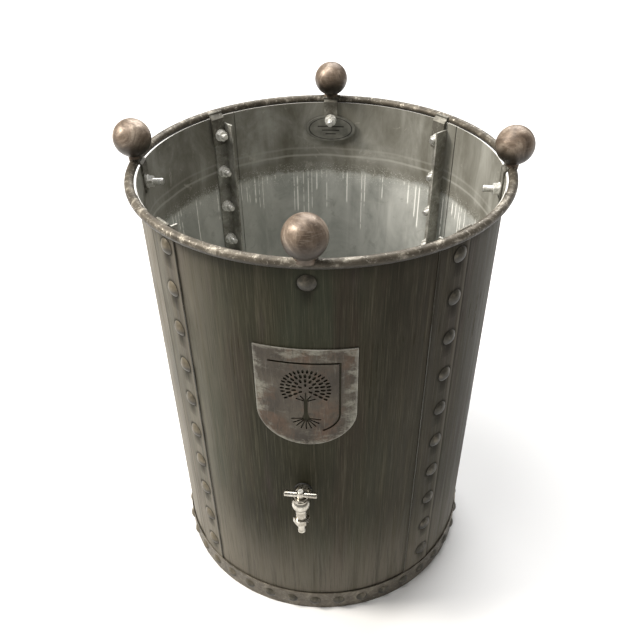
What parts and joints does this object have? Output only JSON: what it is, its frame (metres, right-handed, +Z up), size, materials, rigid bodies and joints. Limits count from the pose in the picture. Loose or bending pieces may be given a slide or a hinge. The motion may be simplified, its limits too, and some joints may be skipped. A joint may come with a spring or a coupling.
{
  "type": "water butt",
  "caption": "Open round tank of lapped galvanised panels with bolted seams, a bar rim with ball finials, a pierced crest and a quarter-turn tap.",
  "frame": {"origin": "on the tank's axis, at the underside of its base", "axes": "+Z up along the tank's axis, -Y through the front, where the crest and the tap are"},
  "size_m": [0.6274, 0.6274, 0.803],
  "materials": {
    "zinc_sheet": "patinated galvanised sheet, brushed and stained",
    "band_steel": "dull galvanised bar with worn edges",
    "dull_bolts": "patinated cup heads with grime round them",
    "bright_zinc": "bright zinc plate",
    "hoop_steel": "mottled galvanised bar, rubbed bright in places",
    "cast_ball": "satin, mottled casting",
    "crest_steel": "scuffed sheet with bright edges",
    "tap_nickel": "nickel plate",
    "valve_brass": "machined brass",
    "seat_plastic": "moulded valve seat",
    "seal_rubber": "black rubber"
  },
  "bodies": {
    "tank": {"panel_front": "zinc_sheet", "panel_right": "zinc_sheet", "panel_back": "zinc_sheet", "panel_left": "zinc_sheet", "base_plate": "zinc_sheet", "base_band": "band_steel", "base_bolts": "dull_bolts", "base_nuts": "bright_zinc", "rim_hoop": "hoop_steel", "seam_bolts_front_right": "dull_bolts", "seam_washers_front_right": "bright_zinc", "seam_nuts_front_right": "bright_zinc", "seam_angle_front_right": "band_steel", "rim_strap_front_right": "band_steel", "seam_bolts_back_right": "dull_bolts", "seam_washers_back_right": "bright_zinc", "seam_nuts_back_right": "bright_zinc", "seam_angle_back_right": "band_steel", "rim_strap_back_right": "band_steel", "seam_bolts_back_left": "dull_bolts", "seam_washers_back_left": "bright_zinc", "seam_nuts_back_left": "bright_zinc", "seam_angle_back_left": "band_steel", "rim_strap_back_left": "band_steel", "seam_bolts_front_left": "dull_bolts", "seam_washers_front_left": "bright_zinc", "seam_nuts_front_left": "bright_zinc", "seam_angle_front_left": "band_steel", "rim_strap_front_left": "band_steel", "finial_bolts": "dull_bolts", "finial_washers": "bright_zinc", "finial_nuts": "bright_zinc", "finial_strap_front": "band_steel", "ball_finial_front": "cast_ball", "finial_strap_right": "band_steel", "ball_finial_right": "cast_ball", "finial_strap_back": "band_steel", "ball_finial_back": "cast_ball", "finial_strap_left": "band_steel", "ball_finial_left": "cast_ball", "crest_shield": "crest_steel", "crest_rivets": "bright_zinc", "maker_plate": "crest_steel", "tap_body": "tap_nickel", "gland_nut": "tap_nickel", "hose_tail": "tap_nickel", "tap_back_nut": "tap_nickel", "valve_seats": "seat_plastic", "tap_seal_outer": "seal_rubber", "tap_seal_inner": "seal_rubber", "hose_washer": "seal_rubber"},
    "tap_lever": {"tap_handle": "tap_nickel", "handle_screw": "tap_nickel", "valve_stem": "valve_brass", "valve_ball": "tap_nickel"},
    "union": {"union_nut": "tap_nickel"}
  },
  "joints": [
    {"name": "tap_turn", "type": "hinge", "parent": "tank", "child": "tap_lever", "pos_m": [-0.00626, -0.29867, 0.317], "axis": [0, 0, 1], "range_deg": [0, 90]},
    {"name": "union_turn", "type": "hinge", "parent": "tank", "child": "union", "pos_m": [-0.00626, -0.29867, 0.2815], "axis": [0, 0, 1], "range_deg": [0, 360]}
  ]
}
